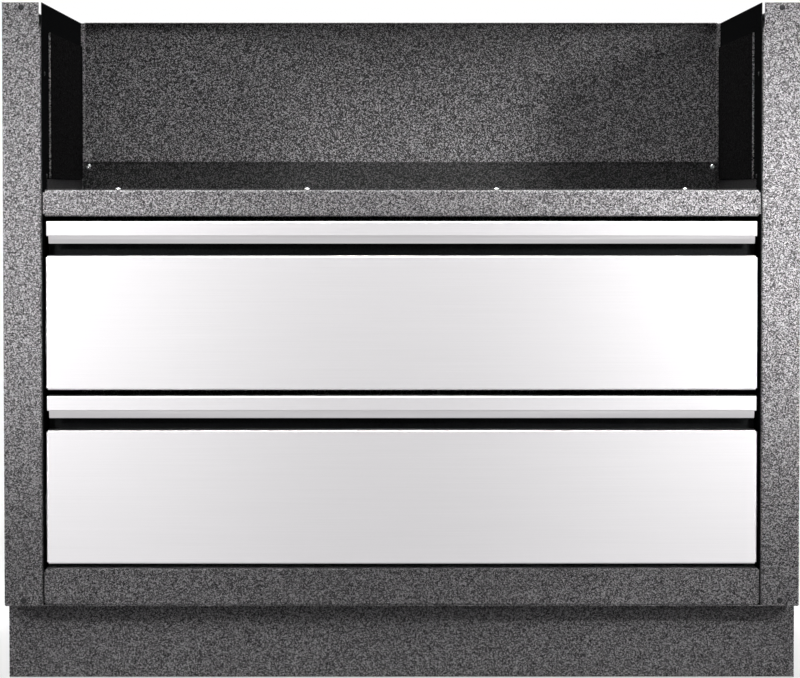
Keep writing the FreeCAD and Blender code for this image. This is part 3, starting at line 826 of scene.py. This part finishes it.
@dataclass
class BallCages:
    """The cages of one drawer's runners, each a pressed strip with its rows of balls."""

    drawer: Drawer
    row: CageRow
    ball: float = 3.6 * MM
    pitch: float = 9.0 * MM
    end_room: float = 6.0 * MM
    sheet: float = 0.6 * MM
    ball_segments: int = 8
    ball_rings: int = 6
    flat_angle: float = 1.0
    smooth_angle: float = 50.0

    def build(self) -> None:
        """Makes both cages, left and right, with their balls."""
        node = self.drawer.named(f"{self.row.value}_ball_cages")
        body = self.drawer.named(f"{self.row.value}_cages")
        dress_body(body)
        mesh = bmesh.new()
        mesh.from_mesh(frame["nodes"][node].data)
        bmesh.ops.remove_doubles(mesh, verts=mesh.verts, dist=MERGE)
        bmesh.ops.dissolve_limit(mesh, angle_limit=math.radians(self.flat_angle), verts=mesh.verts,
                                 edges=mesh.edges)
        for low, high in islands(node):
            middle = (low + high) / 2
            count = int((high.y - low.y - 2 * self.end_room) / self.pitch) + 1
            first = middle.y - (count - 1) * self.pitch / 2
            for level in (low.z + self.sheet / 2, high.z - self.sheet / 2):
                for number in range(count):
                    spot = Matrix.Translation((middle.x, first + number * self.pitch, level))
                    bmesh.ops.create_uvsphere(mesh, u_segments=self.ball_segments,
                                              v_segments=self.ball_rings, radius=self.ball / 2, matrix=spot)
        finished_piece(node + "_filled", mesh, Finish.STEEL, body, [node], self.smooth_angle)


@dataclass(frozen=True)
class Softbox:
    """A rectangular soft light, with a grid that narrows its beam to a spread in degrees."""

    name: str
    spot: Point
    target: Point
    size: tuple[float, float]
    watts: float
    spread: float

    def build(self) -> None:
        """Sets the light up, facing its target."""
        data = bpy.data.lights.new(self.name, "AREA")
        data.shape = "RECTANGLE"
        data.size, data.size_y = self.size
        data.energy = self.watts
        data.spread = math.radians(self.spread)
        light = bpy.data.objects.new(self.name, data)
        light.location = self.spot
        light.visible_camera = False
        light.rotation_mode = "QUATERNION"
        light.rotation_quaternion = (Vector(self.target) - Vector(self.spot)).to_track_quat("-Z", "Y")
        bpy.context.scene.collection.objects.link(light)
        LOG.info("light %s, %.2f W", self.name, self.watts)


LIGHTS = (
    Softbox("right_key", (1.51, -2.37, 1.2), (0.5, -0.3, 0.6), (0.4, 0.3), 1.9, 22),
    Softbox("left_key", (-1.51, -2.37, 1.2), (-0.5, -0.3, 0.57), (0.4, 0.3), 1.12, 22),
    Softbox("middle_key", (0.0, -1.9, 3.0), (0.0, -0.2, 0.7), (1.4, 0.4), 1.7, 18),
    Softbox("right_bay_light", (0.42, -1.9, 3.0), (0.42, 0.3, 0.81), (0.3, 0.3), 0.14, 14),
    Softbox("left_bay_light", (-0.42, -1.9, 3.0), (-0.42, 0.3, 0.8), (0.3, 0.3), 0.28, 14),
    Softbox("right_panel", (0.94, -3.4, 0.45), (0.35, -0.3, 0.45), (1.1, 1.0), 4.0, 180),
    Softbox("left_panel", (-0.94, -3.4, 0.45), (-0.35, -0.3, 0.45), (1.1, 1.0), 4.0, 180),
    Softbox("low_toe_light", (0.0, -1.45, 0.32), (0.0, -0.24, 0.02), (1.3, 0.08), 0.04, 9),
    Softbox("middle_toe_light", (0.0, -1.35, 0.56), (0.0, -0.24, 0.02), (1.3, 0.08), 0.04, 9),
    Softbox("high_toe_light", (0.0, -1.2, 0.77), (0.0, -0.24, 0.02), (1.3, 0.08), 0.04, 9),
    Softbox("top_softbox", (0.0, 0.25, 3.0), (0.0, 0.25, 0.0), (2.0, 1.4), 45.0, 110),
    Softbox("right_fill", (2.8, 0.75, 0.45), (0.53, 0.0, 0.45), (1.0, 0.8), 30.0, 180),
    Softbox("left_fill", (-2.8, 0.75, 0.45), (-0.53, 0.0, 0.45), (1.0, 0.8), 30.0, 180),
    Softbox("back_fill", (0.0, 3.0, 0.45), (0.0, 0.3, 0.45), (2.0, 0.8), 40.0, 180),
)


@dataclass
class Studio:
    """The camera, the soft lights, the pale floor and the white surround."""

    image_width: int = 800
    sensor: float = 36.0
    focal_pixels: float = 3574.0
    camera_distance: float = 4.78
    camera_x: float = -0.0132
    camera_turn: float = 0.129
    camera_height: float = 0.667
    camera_pitch: float = 2.41
    camera_reach: float = 100.0
    floor_radius: float = 5.0
    floor_segments: int = 64
    floor_roughness: float = 0.9
    floor_fade: Range = (1.0, 2.6)
    floor_white: float = 0.6
    floor_colour: float = 0.8
    floor_bounce: float = 0.04
    ambient: float = 0.03
    white: float = 1.0

    def camera(self) -> None:
        """Sets the camera where the photograph was taken from."""
        data = bpy.data.cameras.new("camera")
        data.sensor_width = self.sensor
        data.lens = self.focal_pixels * self.sensor / self.image_width
        data.clip_end = self.camera_reach
        camera = bpy.data.objects.new("camera", data)
        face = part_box("base_rail")[0].y
        camera.location = (self.camera_x, face - self.camera_distance, self.camera_height)
        camera.rotation_euler = (math.radians(90 - self.camera_pitch), 0, math.radians(-self.camera_turn))
        bpy.context.scene.collection.objects.link(camera)
        bpy.context.scene.camera = camera

    def seen(self, tree: bpy.types.NodeTree) -> bpy.types.NodeSocket:
        """A value of 1 for rays of the eye, of reflections and through glass, and 0 for the rest.

        Args:
            tree: the node tree that takes it.

        Returns:
            The value.
        """
        path = tree.nodes.new("ShaderNodeLightPath")
        value = path.outputs["Is Camera Ray"]
        for ray in ("Is Glossy Ray", "Is Transmission Ray"):
            either = tree.nodes.new("ShaderNodeMath")
            either.operation = "MAXIMUM"
            tree.links.new(value, either.inputs[0])
            tree.links.new(path.outputs[ray], either.inputs[1])
            value = either.outputs["Value"]
        return value

    def surround_shader(self, tree: bpy.types.NodeTree, kind: str) -> bpy.types.NodeSocket:
        """Adds the shader of the surround: white where it is seen, and a soft grey fill for other rays.

        Args:
            tree: the node tree that takes it.
            kind: Background for the world, Emission for the far floor.

        Returns:
            The shader.
        """
        mix = tree.nodes.new("ShaderNodeMixShader")
        tree.links.new(self.seen(tree), mix.inputs["Fac"])
        for place, strength in ((1, self.ambient), (2, self.white)):
            shade = tree.nodes.new("ShaderNode" + kind)
            shade.inputs["Color"].default_value = (1, 1, 1, 1)
            shade.inputs["Strength"].default_value = strength
            tree.links.new(shade.outputs[0], mix.inputs[place])
        return mix.outputs["Shader"]

    def surround(self) -> None:
        """Makes the world from the surround's shader."""
        world = bpy.data.worlds.new("studio_surround")
        world.use_nodes = True
        bpy.context.scene.world = world
        tree = world.node_tree
        tree.nodes.remove(tree.nodes["Background"])
        surface = tree.nodes["World Output"].inputs["Surface"]
        tree.links.new(self.surround_shader(tree, "Background"), surface)

    def floor_finish(self) -> bpy.types.Material:
        """Makes the floor's finish: pale where it is seen, dim to the light that it throws back.

        Returns:
            The material.
        """
        graph = FinishGraph("pale_studio_floor")
        graph.shade(roughness=self.floor_roughness, specular_ior_level=0.0)
        coordinates = graph.add("TexCoord")
        distance = graph.add("VectorMath", operation="LENGTH")
        graph.join(coordinates.outputs["Object"], distance.inputs[0])
        fade = graph.add("MapRange", {"From Min": self.floor_fade[0], "From Max": self.floor_fade[1]},
                         interpolation_type="SMOOTHSTEP")
        graph.join(distance.outputs["Value"], fade.inputs["Value"])
        seen = self.seen(graph.tree)
        colour = graph.span(seen, self.floor_bounce, self.floor_colour)
        graph.join(colour, graph.shader.inputs["Base Color"])
        whiter = graph.add("Math", operation="MAXIMUM")
        graph.join(fade.outputs["Result"], whiter.inputs[0])
        graph.join(graph.span(seen, 0.0, self.floor_white), whiter.inputs[1])
        mix = graph.add("MixShader")
        graph.join(whiter.outputs["Value"], mix.inputs["Fac"])
        graph.join(graph.shader.outputs["BSDF"], mix.inputs[1])
        graph.join(self.surround_shader(graph.tree, "Emission"), mix.inputs[2])
        graph.join(mix.outputs["Shader"], graph.tree.nodes["Material Output"].inputs["Surface"])
        return graph.material

    def floor(self) -> None:
        """Makes the pale floor, which takes the object's shadow and fades into the surround further out."""
        mesh = bmesh.new()
        bmesh.ops.create_circle(mesh, cap_ends=True, segments=self.floor_segments, radius=self.floor_radius)
        data = bpy.data.meshes.new("studio_floor")
        mesh.to_mesh(data)
        mesh.free()
        data.materials.append(self.floor_finish())
        floor = bpy.data.objects.new("studio_floor", data)
        bpy.context.scene.collection.objects.link(floor)

    def build(self) -> None:
        """Sets up the whole studio."""
        self.camera()
        for light in LIGHTS:
            light.build()
        self.surround()
        self.floor()
        bpy.context.scene.view_settings.view_transform = "Standard"


def main() -> None:
    """Dresses each sub-assembly and adds its finished pieces, and sets the studio."""
    logging.basicConfig(level=logging.INFO, format="%(name)s: %(message)s")
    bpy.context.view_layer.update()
    Carcass().build()
    for drawer in Drawer:
        DrawerUnit(drawer).build()
    for end in End:
        for side in Side:
            LevellingFoot(end, side).build()
    for drawer in Drawer:
        for row in CageRow:
            BallCages(drawer, row).build()
    Studio().build()


if __name__ == "__main__":
    main()
